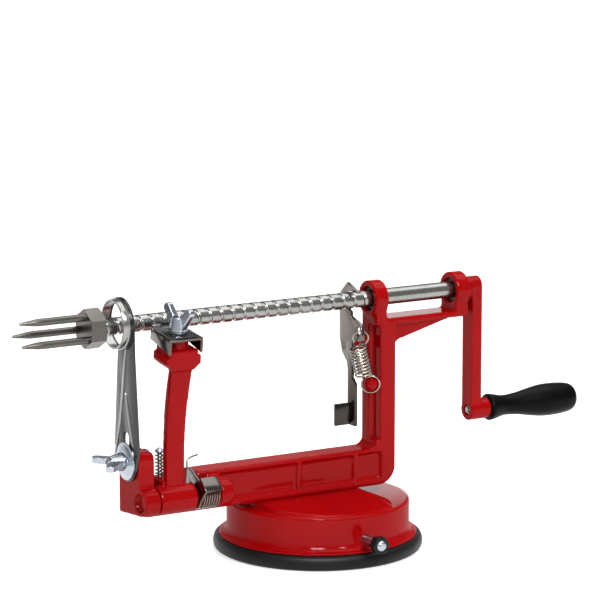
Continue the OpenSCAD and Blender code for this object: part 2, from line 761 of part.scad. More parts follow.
// Torsion spring: a long leg with a bent end, the coil, and a short end
leg_a = -20;
leg_l = 17;
leg_end = 6.5;
function on_pivot(p) = [p[2], pivot_y + p[0], pivot_z + p[1]];
torsion_leg = [for (s = [leg_l : -3 : 1])
    [coil_r * cos(leg_a) - s * sin(leg_a), coil_r * sin(leg_a) + s * cos(leg_a), coil_x0]];
torsion_tip = [for (s = [leg_end, leg_end / 2, 1.6, 0.5]) torsion_leg[0]
    + [0.08 * s, 3.2 - 9 / (s + 3.2), s]];
torsion_coil = [for (i = [0 : 8 * torsion_turns]) let (a = leg_a - 45 * i)
    [coil_r * cos(a), coil_r * sin(a), coil_x0 + torsion_pitch * i / 8]];
torsion_stub = let (a = leg_a - 360 * torsion_turns)
    torsion_coil[len(torsion_coil) - 1] + torsion_wire * [sin(a), -cos(a), 0];
torsion_path = [for (p = concat(torsion_tip, torsion_leg, torsion_coil, [torsion_stub])) on_pivot(p)];

module arm_spring() {
    color(nickel) tube(torsion_path, torsion_wire / 2);
}

// Latch plate on the pivot, with a notch on top and a thumb tab bent to the right
module arm_latch() {
    tab_l = 7.4;
    tab = [[-5.2, 8.8], [-10.7, 3.5]];
    n = unit([tab[0][1] - tab[1][1], tab[1][0] - tab[0][0]]);
    color(nickel) difference() {
        union() {
            yz_slab(latch_x0, latch_x1) translate([pivot_y, pivot_z]) {
                circle(barrel_r - 0.2);
                polygon([[6.5, 2.2], [7.7, 4.6], [6.2, 11.6], [4, 12.7], [-3.4, 8.2], tab[0], tab[1],
                    [-9, 1.5], [-5, -3], [0, -2]]);
            }
            yz_slab(latch_x0, latch_x1 + tab_l) translate([pivot_y, pivot_z])
                polygon([tab[0], tab[1], tab[1] - latch_t * n, tab[0] - latch_t * n]);
        }
        x_rod(latch_x0 - 1, latch_x1 + 1, pivot_d / 2 + run, pivot_y, pivot_z);
    }
}

// Release plate: hook behind the shaft, ear for the spring, strip and bent thumb tab
ear = [-8, -13.6];
strip = [-5.4, 1.4];
strip_z = bar_z1 + 11.8 - shaft_z;

module release_plate() {
    tab_l = 7.5;
    tab_h = 10.5;
    color(nickel) difference() {
        union() {
            yz_slab(release_x0, release_x1) translate([0, shaft_z]) difference() {
                polygon([[2.2, 8.4], [8.2, 3], [8.9, -1.5], [8.9, -18.5], [6.5, -26], [2.2, -30],
                    [strip[1], -33.5], [strip[1], strip_z], [strip[0], strip_z], [strip[0], -40],
                    [-2.4, -37], [-2.4, -18.9], [-10.6, -18.4], [-11.4, -17.5], [-11.4, -12.5], [-9.6, -10],
                    [-1.4, -7.5], [-1.4, shaft_r + 0.4],
                    [-8, shaft_r + 0.4], [-8, shaft_r + 0.9]]);
                circle(shaft_r + 0.35);
                translate([-2.5, -0.3]) circle(shaft_r + 1.1);
                translate(ear) circle(pull_wire / 2 + 1.65);
            }
            box(release_x0 - tab_l, release_x1, strip[1] - release_t, strip[1],
                shaft_z + strip_z, shaft_z + strip_z + tab_h);
        }
        x_rod(release_x0 - 1, release_x1 + 1, release_pin_r + run, release_y, release_z);
    }
}

module release_pin() {
    color(steel) x_rod(release_x0, column_x + 5, release_pin_r, release_y, release_z);
}

// Release spring: loop through the ear, coils that start and end at the axis, loop round the peg
loop_r = peg_r + pull_wire / 2 + 0.55;
hook_r = 3.6;
hook_top = [release_x0 + release_t / 2, ear[0], shaft_z + ear[1]];
pull_up = unit(hook_top - peg);
hook_mid = hook_top - hook_r * pull_up;
pull_side = unit(cross(pull_up, [-0.507, -0.862, 0]));
pull_back = cross(pull_up, pull_side);
// The coil stands off its end loops, towards the fork
pull_off = [-2.8, -0.5, 0];
pull_from = peg + loop_r * pull_up;
pull_l = norm(hook_mid - peg) - loop_r - hook_r;
function pull_point(i, n) = let (s = i / n, turn = s * pull_turns,
    r = pull_r * min(1, 2 * turn, 2 * (pull_turns - turn)), a = 180 + 360 * turn)
    pull_from + pull_l * s * pull_up + r * (cos(a) * pull_side + sin(a) * pull_back) + r / pull_r * pull_off;
pull_low = [for (a = [-230 : 25 : 70]) peg + loop_r * (cos(a) * pull_side + sin(a) * pull_up)];
pull_high = [for (a = [-70 : 28 : 212]) hook_mid + hook_r * (cos(a) * pull_side + sin(a) * pull_up)];
pull_coil = [for (i = [0 : 8 * pull_turns]) pull_point(i, 8 * pull_turns)];
pull_path = concat(pull_low, pull_coil, pull_high);

module release_spring() {
    color(nickel) tube(pull_path, pull_wire / 2);
}

echo(stop_spring_gap = self_gap(stop_path, stop_wire, 6));
echo(arm_spring_gap = self_gap(torsion_path, torsion_wire, 6));
echo(release_spring_gap = self_gap(pull_path, pull_wire, 6));

// Base
module base_housing() {
    edge = 1;
    color(red) difference() {
        union() {
            rotate_extrude() {
                flare = flange_r - wall_r;
                polygon(concat([[0, cup_h], [flange_r, cup_h]],
                    [for (a = [0 : 15 : 90]) [flange_r - flare * sin(a), cup_h + 0.9 + flare * (1 - cos(a))]],
                    [[wall_r, base_h - edge], [wall_r - edge, base_h], [0, base_h]]));
            }
            intersection() {
                yz_slab(plateau_end - plateau_l, plateau_end) polygon([[-plateau_r, base_h - 1],
                    [-plateau_r, base_h + 0.3], [-bar_d, bar_z0], [bar_d, bar_z0],
                    [plateau_r, base_h + 0.3], [plateau_r, base_h - 1]]);
                cylinder(r = plateau_r, h = bar_z0 + 1);
            }
        }
        translate([0, 0, cup_h - 1]) cylinder(r = wall_r - wall_t, h = base_h - wall_t - cup_h + 1);
        y_rod(-wall_r - 5, wall_r + 5, axle_r + run, 0, axle_z);
        for (x = foot_xs)
            translate([x, 0, base_h - wall_t - 1]) cylinder(d = foot_screw_d, h = plateau_rise + wall_t + 2);
    }
}

module foot_screws() {
    color(steel) for (x = foot_xs) translate([x, 0, 0]) {
        translate([0, 0, base_h - wall_t]) cylinder(d = foot_screw_d, h = plateau_rise + wall_t + 9);
        translate([0, 0, base_h - wall_t - 2.4]) cylinder(d = foot_screw_d * 1.8, h = 2.4);
    }
}

module cam_axle() {
    color(steel) {
        y_rod(-collar_y - collar_l, lever_y + lever_t, axle_r, 0, axle_z);
        translate([0, -collar_y - collar_l, axle_z]) rotate([90, 0, 0])
            cylinder(r1 = axle_r, r2 = axle_r * 0.55, h = 1.2);
        y_rod(-eccentric_l / 2, eccentric_l / 2, eccentric_r, 0, axle_z - throw);
    }
}

module axle_collar() {
    color(dark) difference() {
        translate([0, -collar_y, axle_z]) rotate([90, 0, 0]) cylinder(r = axle_r + 1.7, h = collar_l, $fn = 6);
        y_rod(-collar_y - collar_l - 1, -collar_y + 1, axle_r, 0, axle_z);
    }
}

module suction_lever() {
    w = 9;
    color(dark) difference() {
        xz_slab(lever_y, lever_y + lever_t) {
            translate([0, axle_z]) circle(w / 2);
            translate([0, axle_z - 3]) square([lever_l, 6]);
            translate([lever_l, axle_z]) circle(3.9);
        }
        y_rod(lever_y - 1, lever_y + lever_t + 1, axle_r, 0, axle_z);
    }
}

// Yoke round the eccentric, wide enough for its sideways swing, on a plate that pulls the cup
module cup_stem() {
    color(steel) {
        translate([0, 0, stem_z]) cylinder(r = 17, h = stem_t);
        difference() {
            box(-slot_w - 2, slot_w + 2, -2.5, 2.5, stem_z, axle_z - throw + slot_h + 1.2);
            box(-slot_w, slot_w, -4, 4, axle_z - throw - slot_h, axle_z - throw + slot_h);
        }
    }
}

module suction_cup() {
    inner = wall_r - 7;
    color(dark) rotate_extrude()
        polygon([[0, stem_z - 2.2], [inner, stem_z - 3.4], [inner + 4, 0], [cup_r - 2.2, 0], [cup_r - 0.5, 1],
            [cup_r, 2.6],
            [cup_r, cup_h - 2.8], [cup_r - 0.7, cup_h - 0.8], [cup_r - 2.4, cup_h],
            [wall_r - wall_t - 1, cup_h], [wall_r - wall_t - 4, stem_z], [0, stem_z]]);
}

frame();
front_bush();
rear_bush();
drive_shaft();
fork_hub();
fork_prongs();
crank_arm();
grip_axle();
crank_grip();
slicer_blade();
corer_ring();
slicer_bolt();
slicer_washer();
slicer_wing_nut();
peeler_arm();
arm_pivot_pin();
blade_holder();
peeling_blade();
holder_stud();
holder_washer();
holder_wing_nut();
stop_screw();
stop_spring();
arm_spring();
arm_latch();
release_plate();
release_pin();
release_spring();
base_housing();
foot_screws();
cam_axle();
axle_collar();
suction_lever();
cup_stem();
suction_cup();
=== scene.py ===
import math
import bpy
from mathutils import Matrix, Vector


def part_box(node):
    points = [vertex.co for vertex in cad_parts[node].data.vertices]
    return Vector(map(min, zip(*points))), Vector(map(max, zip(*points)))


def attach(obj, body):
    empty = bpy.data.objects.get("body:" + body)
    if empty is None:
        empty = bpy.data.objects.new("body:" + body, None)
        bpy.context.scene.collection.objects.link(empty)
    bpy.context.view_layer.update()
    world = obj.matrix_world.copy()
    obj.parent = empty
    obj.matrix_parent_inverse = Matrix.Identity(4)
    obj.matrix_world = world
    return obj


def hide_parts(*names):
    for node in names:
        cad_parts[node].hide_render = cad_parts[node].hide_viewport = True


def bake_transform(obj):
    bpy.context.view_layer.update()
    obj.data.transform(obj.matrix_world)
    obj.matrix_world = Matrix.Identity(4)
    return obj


bl_info = {
    "name": "Apple Peeler",
    "version": (1, 0, 0),
    "blender": (4, 5, 0),
    "location": "3D View > Sidebar > Peeler",
    "description": "Dresses a hand-cranked apple peeler with its cast, turned, wound and folded pieces",
    "category": "Object",
}

import bmesh
import bpy
import numpy as np
from bpy.props import FloatProperty, FloatVectorProperty, IntProperty, PointerProperty
from mathutils import Matrix, Vector

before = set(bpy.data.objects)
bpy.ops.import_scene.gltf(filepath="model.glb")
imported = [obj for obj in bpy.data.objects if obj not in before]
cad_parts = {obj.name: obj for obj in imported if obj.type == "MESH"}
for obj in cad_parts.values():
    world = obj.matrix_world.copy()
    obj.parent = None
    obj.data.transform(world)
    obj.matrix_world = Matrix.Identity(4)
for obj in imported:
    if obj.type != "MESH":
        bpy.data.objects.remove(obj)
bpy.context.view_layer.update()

# Sizes below are written in millimetres and put into the mesh in metres.
MM = 0.001
TAU = 2 * math.pi
X_AXIS, Z_AXIS = (1, 0, 0), (0, 0, 1)


def corners(node):
    """Lowest and highest corner of a CAD node, in millimetres."""
    low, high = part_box(node)
    return np.array(low) / MM, np.array(high) / MM


def middle(node):
    """Middle of a CAD node's box, in millimetres."""
    return np.mean(corners(node), axis=0)


SHAFT_Z = float(middle("drive_shaft")[2])
# Pivot of the peeling arm, and the arm's lean about it
PIVOT_Y, PIVOT_Z = -15.3, 37.0
LEAN = math.radians(6.5)
# Middle of the slicer's bolt, and of the holder's stud on the upright arm
BOLT_Y, BOLT_Z = -5.0, 55.0
STUD_X, STUD_Y = -86, 4
# Pitch and depth of the thread on the bolt and stud, and on the stop screw
BOLT_THREAD = (0.8, 0.35)
STOP_THREAD = (0.5, 0.2)
# Grain of the skin on the smaller castings and on the wing nuts, and the passes that round the nuts
SMALL_SKIN = 0.45 * MM
NUT_SKIN, NUT_SOFTEN = 0.25 * MM, 6


def hex_color(code):
    """Linear colour from an sRGB hex code such as A81818."""
    c = np.array([int(code[i:i + 2], 16) / 255 for i in (0, 2, 4)])
    lin = np.where(c <= 0.04045, c / 12.92, ((c + 0.055) / 1.055) ** 2.4)
    return (*lin.tolist(), 1.0)


class PeelerSizes(bpy.types.PropertyGroup):
    """Sizes of the dressed pieces"""

    pitch: FloatProperty(name="Thread pitch", description="Pitch of the feed thread",
                         default=6.0 * MM, unit="LENGTH")
    groove: FloatProperty(name="Groove depth", description="Depth of the feed thread's groove",
                          default=0.6 * MM, unit="LENGTH")
    skin: FloatProperty(name="Cast skin", description="Grain of the casting's rounded skin",
                        default=0.6 * MM, unit="LENGTH")
    soften: IntProperty(name="Cast softening", description="Passes that round the casting's edges", default=9)
    sheet_edge: FloatProperty(name="Sheet edge", description="Width of the broken edge on pressed sheet",
                              default=0.25 * MM, unit="LENGTH")
    wire_sides: IntProperty(name="Wire sides", description="Sides of a spring wire's section", default=12)


class PeelerFinishes(bpy.types.PropertyGroup):
    """Colours of the finishes"""

    enamel: FloatVectorProperty(name="Red enamel", description="Colour of the stoved enamel on the castings",
                                subtype="COLOR", size=4, default=hex_color("B0080C"))
    steel: FloatVectorProperty(name="Zinc plate", description="Colour of the bright zinc on turned pieces",
                               subtype="COLOR", size=4, default=hex_color("979795"))
    ground: FloatVectorProperty(name="Ground steel", description="Colour of the fork's ground steel",
                                subtype="COLOR", size=4, default=hex_color("63605C"))
    zinc: FloatVectorProperty(name="Blue zinc", description="Colour of the blued zinc on nuts and washers",
                              subtype="COLOR", size=4, default=hex_color("AEB4BD"))
    blade: FloatVectorProperty(name="Stainless", description="Colour of the rolled blade steel",
                               subtype="COLOR", size=4, default=hex_color("484848"))
    nickel: FloatVectorProperty(name="Nickel plate", description="Colour of the plated sheet",
                                subtype="COLOR", size=4, default=hex_color("625C57"))
    wire: FloatVectorProperty(name="Spring wire", description="Colour of the drawn wire of the springs",
                              subtype="COLOR", size=4, default=hex_color("A39D93"))
    grip: FloatVectorProperty(name="Grip", description="Colour of the moulded grip",
                              subtype="COLOR", size=4, default=hex_color("090A0B"))
    rubber: FloatVectorProperty(name="Rubber", description="Colour of the suction ring",
                                subtype="COLOR", size=4, default=hex_color("0B0B0C"))


def sizes():
    """The scene's settings of sizes."""
    return bpy.context.scene.peeler_sizes


def finishes():
    """The scene's settings of colours."""
    return bpy.context.scene.peeler_finishes


# Materials


def add(tree, kind, settings=None, links=None):
    """Adds one node, sets its properties, sockets or colour stops, and links it from (node, output) pairs."""
    n = tree.nodes.new(kind)
    for key, value in (settings or {}).items():
        if key == "stops":
            for stop, (position, color) in zip(n.color_ramp.elements, value):
                stop.position = position
                stop.color = color
        elif isinstance(key, str) and hasattr(n, key):
            setattr(n, key, value)
        else:
            n.inputs[key].default_value = value
    for key, (source, output) in (links or {}).items():
        tree.links.new(source.outputs[output], n.inputs[key])
    return n


def new_finish(name):
    """An empty material, its node tree, and the node that gives Object coordinates."""
    m = bpy.data.materials.new(name)
    m.use_nodes = True
    m.node_tree.nodes.clear()
    return m, m.node_tree, add(m.node_tree, "ShaderNodeTexCoord")


def scaled(color, k):
    """A colour k times as bright, as far as white allows."""
    return (*[min(1.0, c * k) for c in color[:3]], 1.0)


def clouded(color, dark, pale):
    """Colour stops of a soft pattern, from a darker to a paler shade of one colour."""
    return [(0.3, scaled(color, dark)), (0.7, scaled(color, pale))]


def stoved_enamel(name, sheen_above_z):
    """Stoved enamel on a die casting: a gloss coat with the faint orange peel of sprayed paint.

    The coat gives a painted sheen: it is full on tops that face up and lie above the given height, and thin
    on all else.
    """
    m, t, tc = new_finish(name)
    # Orange peel about 2.5 mm across, cloudiness about 25 mm across
    peel = add(t, "ShaderNodeTexNoise", {"Scale": 1 / (2.5 * MM), "Detail": 2.0}, {"Vector": (tc, "Object")})
    cloud = add(t, "ShaderNodeTexNoise", {"Scale": 1 / (25 * MM), "Detail": 3.0}, {"Vector": (tc, "Object")})
    tint = add(t, "ShaderNodeValToRGB", {"stops": clouded(finishes().enamel, 0.90, 1.06)},
               {"Fac": (cloud, "Fac")})
    bump = add(t, "ShaderNodeBump", {"Strength": 0.05, "Distance": 0.2 * MM}, {"Height": (peel, "Fac")})
    rough = add(t, "ShaderNodeMapRange", {"To Min": 0.06, "To Max": 0.11}, {"Value": (cloud, "Fac")})
    facing = add(t, "ShaderNodeSeparateXYZ", links={"Vector": (tc, "Normal")})
    place = add(t, "ShaderNodeSeparateXYZ", links={"Vector": (tc, "Object")})
    thin = 0.2
    # Painted sheen: the coat is full only where a top faces up above the given height
    high = add(t, "ShaderNodeMapRange", {"From Min": sheen_above_z - MM, "From Max": sheen_above_z, "To Min": thin},
               {"Value": (place, "Z")})
    coat = add(t, "ShaderNodeMapRange", {"From Min": 0.96, "From Max": 1.0, "To Min": thin},
               {"Value": (facing, "Z"), "To Max": (high, "Result")})
    # The gloss is the coat's alone, so that the sides don't go pale at a glancing look
    s = add(t, "ShaderNodeBsdfPrincipled",
            {"IOR": 1.5, "Specular IOR Level": 0.0, "Coat Roughness": 0.04},
            {"Base Color": (tint, "Color"), "Roughness": (rough, "Result"), "Normal": (bump, "Normal"),
             "Coat Normal": (bump, "Normal"), "Coat Weight": (coat, "Result")})
    add(t, "ShaderNodeOutputMaterial", links={"Surface": (s, "BSDF")})
    return m


def bare_metal(name, color, stretch, rough, depth, fade=(0.0, 1.0, 1.0, 1.0)):
    """Worked metal: soft stains, and fine lines on one axis, drawn 0.6 mm across so that they show.

    fade is (z_low, z_high, k_low, k_high), which paints a reflection by height: the colour is k_low times
    itself at z_low and k_high times itself at z_high.
    """
    m, t, tc = new_finish(name)
    turn = add(t, "ShaderNodeMapping", {"Scale": stretch}, {"Vector": (tc, "Object")})
    lines = add(t, "ShaderNodeTexNoise", {"Scale": 1 / (0.6 * MM), "Detail": 4.0},
                {"Vector": (turn, "Vector")})
    stain = add(t, "ShaderNodeTexNoise", {"Scale": 1 / (12 * MM), "Detail": 3.0}, {"Vector": (tc, "Object")})
    tint = add(t, "ShaderNodeValToRGB", {"stops": clouded(color, 0.84, 1.04)}, {"Fac": (stain, "Fac")})
    spread = add(t, "ShaderNodeMapRange", {"To Min": rough - 0.05, "To Max": rough + 0.06},
                 {"Value": (lines, "Fac")})
    bump = add(t, "ShaderNodeBump", {"Strength": depth, "Distance": 0.1 * MM}, {"Height": (lines, "Fac")})
    place = add(t, "ShaderNodeSeparateXYZ", links={"Vector": (tc, "Object")})
    # Painted reflection: where a fade is given, the colour is scaled by height
    height = add(t, "ShaderNodeMapRange", dict(zip(("From Min", "From Max", "To Min", "To Max"), fade)),
                 {"Value": (place, "Z")})
    faded = add(t, "ShaderNodeVectorMath", {"operation": "SCALE"},
                {"Vector": (tint, "Color"), "Scale": (height, "Result")})
    s = add(t, "ShaderNodeBsdfPrincipled", {"Metallic": 1.0},
            {"Base Color": (faded, "Vector"), "Roughness": (spread, "Result"), "Normal": (bump, "Normal")})
    add(t, "ShaderNodeOutputMaterial", links={"Surface": (s, "BSDF")})
    return m


def moulded(name, color, grain, rough, depth, shine):
    """Moulded plastic or rubber: an even dark body with a fine grain, drawn so coarse that it shows."""
    m, t, tc = new_finish(name)
    fine = add(t, "ShaderNodeTexNoise", {"Scale": 1 / grain, "Detail": 3.0}, {"Vector": (tc, "Object")})
    wide = add(t, "ShaderNodeTexNoise", {"Scale": 1 / (20 * MM), "Detail": 2.0}, {"Vector": (tc, "Object")})
    tint = add(t, "ShaderNodeValToRGB", {"stops": clouded(color, 0.8, 1.25)}, {"Fac": (wide, "Fac")})
    spread = add(t, "ShaderNodeMapRange", {"To Min": rough - 0.05, "To Max": rough + 0.07},
                 {"Value": (wide, "Fac")})
    bump = add(t, "ShaderNodeBump", {"Strength": depth, "Distance": 0.2 * MM}, {"Height": (fine, "Fac")})
    s = add(t, "ShaderNodeBsdfPrincipled", {"IOR": 1.5, "Specular IOR Level": shine},
            {"Base Color": (tint, "Color"), "Roughness": (spread, "Result"), "Normal": (bump, "Normal")})
    add(t, "ShaderNodeOutputMaterial", links={"Surface": (s, "BSDF")})
    return m


# How a metal's fine lines are drawn out: not at all, round X, along X, along X on sheet, and along Z
EVEN = (1.0, 1.0, 1.0)
ROUND_X = (1.0, 0.05, 0.05)
ALONG_X = (0.06, 1.0, 1.0)
SHEET_X = (0.1, 1.0, 1.0)
ALONG_Z = (1.0, 1.0, 0.04)

MAKERS = {
    # Deep red gloss, with a painted sheen on tops that face up: on the castings only above 90 mm, on the base
    # on every one
    "enamel": lambda f: stoved_enamel("stoved_red_enamel", 90 * MM),
    "base_enamel": lambda f: stoved_enamel("stoved_red_base_enamel", 0.0),
    # Bright zinc on turned steel, with turning marks round X
    "zinc_x": lambda f: bare_metal("zinc_plated_turned_steel", f.steel, ROUND_X, 0.25, 0.01),
    # Ground steel of the fork, darker than the rod
    "ground": lambda f: bare_metal("ground_fork_steel", f.ground, ALONG_X, 0.30, 0.008),
    # Zinc on small fasteners, barrel finished
    "zinc": lambda f: bare_metal("blue_zinc_fasteners", f.zinc, EVEN, 0.24, 0.04),
    # Rolled stainless strip, lines along Z
    "blade": lambda f: bare_metal("rolled_stainless_strip", f.blade, ALONG_Z, 0.26, 0.06),
    # Crests of the pressed ribs, painted as a highlight five times as bright as the blade
    "crest": lambda f: bare_metal("stainless_crest_painted_highlight", scaled(f.blade, 5.2), ALONG_Z, 0.28, 0.02),
    # Nickel on pressed sheet
    "nickel": lambda f: bare_metal("nickel_plated_sheet", f.nickel, SHEET_X, 0.16, 0.04),
    # The release plate's nickel, with a painted reflection: dark at the tab below, bright up by the thread
    "painted_reflection_nickel": lambda f: bare_metal("nickel_release_painted_reflection", f.nickel, SHEET_X, 0.16, 0.04,
                                        (70 * MM, 106 * MM, 0.4, 1.5)),
    # Drawn spring wire, brighter than the sheet
    "wire": lambda f: bare_metal("drawn_spring_wire", f.wire, EVEN, 0.24, 0.02),
    # The torsion spring's wire, half as bright as the other springs' wire
    "oiled_wire": lambda f: bare_metal("half_bright_torsion_wire", scaled(f.wire, 0.5), EVEN, 0.24, 0.02),
    # Polished grip with a soft sheen
    "grip": lambda f: moulded("polished_black_grip", f.grip, 1.2 * MM, 0.36, 0.05, 0.07),
    # Rubber of the suction ring, dull and grainy
    "rubber": lambda f: moulded("moulded_black_rubber", f.rubber, 0.7 * MM, 0.45, 0.2, 0.2),
    # Nylon of the collar, lever and bushes, matt and less grainy
    "plastic": lambda f: moulded("matt_black_nylon", f.rubber, 0.6 * MM, 0.42, 0.15, 0.25),
}
FINISH = {}


def finish(name):
    """The material of a finish, made once."""
    if name not in FINISH:
        FINISH[name] = MAKERS[name](finishes())
    return FINISH[name]


# Meshes


def closed_mesh(name, verts, faces):
    """A mesh of points in millimetres, with its doubled points merged and its faces turned outwards."""
    me = bpy.data.meshes.new(name)
    me.from_pydata((np.asarray(verts, float) * MM).tolist(), [], faces)
    bm = bmesh.new()
    bm.from_mesh(me)
    bmesh.ops.remove_doubles(bm, verts=bm.verts, dist=1e-7)
    bmesh.ops.dissolve_degenerate(bm, edges=bm.edges, dist=1e-8)
    bmesh.ops.recalc_face_normals(bm, faces=bm.faces)
    bm.to_mesh(me)
    bm.free()
    return me


def shown(name, me, finish_name, sharp=None):
    """An object with smooth faces, its finish, and edges kept sharp past an angle where one is given."""
    me.polygons.foreach_set("use_smooth", [True] * len(me.polygons))
    if sharp:
        me.set_sharp_from_angle(angle=math.radians(sharp))
    me.materials.clear()
    me.materials.append(finish(finish_name))
    ob = bpy.data.objects.new(name, me)
    bpy.context.scene.collection.objects.link(ob)
    return ob


def settle(name, me, finish_name, body, nodes, sharp):
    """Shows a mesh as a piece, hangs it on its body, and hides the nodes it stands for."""
    ob = shown(name, me, finish_name, sharp)
    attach(ob, body)
    if nodes:
        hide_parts(*nodes)


def put(name, verts, faces, finish_name, body, nodes, slot, sharp):
    """Makes a closed piece and lets it ride on a body."""
    settle(name, closed_mesh(name, verts, faces), finish_name, body, nodes, sharp)


def grid_faces(rows, cols, wrap=True):
    """Quads of a grid of rows by cols points; wrap joins the last column to the first."""
    r = np.arange(rows - 1)[:, None] * cols
    c = np.arange(cols if wrap else cols - 1)[None, :]
    n = (c + 1) % cols
    quads = np.stack([r + c, r + n, r + cols + n, r + cols + c], axis=-1)
    return quads.reshape(-1, 4).tolist()


def angles(sides):
    """Even angles round a turn."""
    return np.linspace(0, TAU, sides, endpoint=False)


def axes_of(direction):
    """A direction's unit vector, and two unit vectors across it."""
    d = np.asarray(direction, float) / np.linalg.norm(direction)
    ref = np.array([0.0, 0.0, 1.0]) if abs(d[2]) < 0.8 else np.array([1.0, 0.0, 0.0])
    a = np.cross(d, ref)
    a /= np.linalg.norm(a)
    return d, a, np.cross(d, a)


def spun(stations, radii, origin, direction, sides):
    """A profile carried round an axis: the origin, plus a station along the axis, plus a radius across it.

    The radii are one for each station, or one for each station and angle.
    """
    d, a, b = axes_of(direction)
    s = np.asarray(stations, float)
    r = np.reshape(radii, (len(s), -1))
    th = angles(sides)
    ring = np.cos(th)[:, None] * a + np.sin(th)[:, None] * b
    p = np.asarray(origin, float) + s[:, None, None] * d + r[:, :, None] * ring
    return p.reshape(-1, 3), grid_faces(len(s), sides)


def turned(stations, radii, origin, direction, sides=64):
    """A turned piece: a spun profile, closed by a flat end at its first and last station."""
    s = np.pad(np.asarray(stations, float), 1, mode="edge")
    r = np.pad(np.reshape(radii, (len(stations), -1)), ((1, 1), (0, 0)))
    return spun(s, r, origin, direction, sides)


def ringed(stations, radii, origin, direction, sides=96):
    """A ring: a closed loop of (station, radius) pairs spun about an axis."""
    return spun(np.append(stations, stations[0]), np.append(radii, radii[0]), origin, direction, sides)


def joined(*parts):
    """Several (points, faces) pairs of quads as one."""
    verts, faces, start = [], [], 0
    for p, f in parts:
        verts.append(np.asarray(p, float))
        faces += (np.asarray(f) + start).tolist()
        start += len(p)
    return np.concatenate(verts), faces


def wire(path, radius, sides):
    """A round wire along a path: a circle carried from point to point by the least turn, with flat ends.

    radius is one number, or one for each point.
    """
    p = np.asarray(path, float)
    t = np.gradient(p, axis=0)
    t /= np.linalg.norm(t, axis=1)[:, None]
    n = np.zeros_like(p)
    n[0] = axes_of(t[0])[1]
    for i in range(1, len(p)):
        v = n[i - 1] - t[i] * np.dot(n[i - 1], t[i])
        n[i] = v / np.linalg.norm(v)
    b = np.cross(t, n)
    th = angles(sides)[None, :, None]
    ring = np.cos(th) * n[:, None, :] + np.sin(th) * b[:, None, :]
    q = p[:, None, :] + np.broadcast_to(radius, len(p))[:, None, None] * ring
    q = np.concatenate([np.repeat(p[:1, None, :], sides, 1), q, np.repeat(p[-1:, None, :], sides, 1)])
    return q.reshape(-1, 3), grid_faces(len(q), sides)


def smooth(edge0, edge1, x):
    """Smooth step from 0 at edge0 to 1 at edge1."""
    k = np.clip((x - edge0) / (edge1 - edge0), 0, 1)
    return k * k * (3 - 2 * k)


def rounded(points, radius, steps=6):
    """Rounds the corners of an open polyline of pairs with short arcs of a quadratic curve."""
    p = np.asarray(points, float)
    out = [p[0]]
    for a, b, c in zip(p[:-2], p[1:-1], p[2:]):
        la, lc = np.linalg.norm(a - b), np.linalg.norm(c - b)
        k = min(radius, 0.45 * la, 0.45 * lc)
        s, e = b + (a - b) / la * k, b + (c - b) / lc * k
        u = np.linspace(0, 1, steps)[:, None]
        out += list((1 - u) ** 2 * s + 2 * u * (1 - u) * b + u * u * e)
    out.append(p[-1])
    q = np.array(out)
    return q[:, 0], q[:, 1]


def threaded(span, r, thread, fade, origin, direction, sides=32, per_pitch=10, cut=0.4):
    """A rod with a right-handed groove: the radius falls near one phase of s over pitch less angle over turn.

    span is the rod's first and last station and thread the groove's pitch and depth. The groove fades out at
    the two stations of fade, and cut is half its share of the pitch. The rod's ends are chamfered.
    """
    (x0, x1), (pitch, depth), (t0, t1) = span, thread, fade
    s = np.linspace(x0, x1, int((x1 - x0) / pitch * per_pitch))
    phase = (s[:, None] / pitch - angles(sides) / TAU) % 1.0
    groove = 1 - smooth(cut * 0.55, cut, np.abs(phase - 0.5))
    there = smooth(t0, t0 + pitch, s) * (1 - smooth(t1 - pitch, t1, s))
    chamfer = 0.12 * r
    end = 1 - smooth(0, chamfer, np.minimum(s - x0, x1 - s))
    rad = r - depth * groove * there[:, None] - chamfer * end[:, None]
    return turned(s, rad, origin, direction, sides)


def node_copy(node):
    """A merged copy of a CAD node's mesh."""
    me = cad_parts[node].data.copy()
    bm = bmesh.new()
    bm.from_mesh(me)
    bmesh.ops.remove_doubles(bm, verts=bm.verts, dist=2e-6)
    bm.to_mesh(me)
    bm.free()
    return me


def worked(me, name, mods):
    """A mesh after a list of (kind, settings) modifiers."""
    ob = bpy.data.objects.new(name + "_work", me)
    bpy.context.scene.collection.objects.link(ob)
    for kind, settings in mods:
        mod = ob.modifiers.new(kind.lower(), kind)
        for key, value in settings.items():
            setattr(mod, key, value)
    bpy.context.view_layer.update()
    done = bpy.data.meshes.new_from_object(ob.evaluated_get(bpy.context.evaluated_depsgraph_get()))
    bpy.data.objects.remove(ob)
    done.name = name
    return done


def plate_along_y(outline, y0, y1):
    """A flat outline of (x, z) points carried along Y, closed at both ends."""
    o = np.asarray(outline, float)
    n = len(o)
    rows = np.stack([np.insert(o, 1, y, axis=1) for y in (y0, y1)])
    return rows.reshape(-1, 3), grid_faces(2, n) + [list(range(n)), list(range(2 * n - 1, n - 1, -1))]


def without(me, name, verts, faces):
    """A mesh with a closed form cut away from it."""
    tool = bpy.data.objects.new("tool", closed_mesh("tool", verts, faces))
    bpy.context.scene.collection.objects.link(tool)
    done = worked(me, name, [("BOOLEAN", {"object": tool, "operation": "DIFFERENCE", "solver": "EXACT"})])
    bpy.data.objects.remove(tool)
    return done


def with_form(me, verts, faces):
    """A mesh with a closed form added to it, to be taken up in one skin with it."""
    extra = closed_mesh("form", verts, faces)
    bm = bmesh.new()
    bm.from_mesh(extra)
    bm.from_mesh(me)
    bm.to_mesh(me)
    bm.free()
    bpy.data.meshes.remove(extra)
    return me


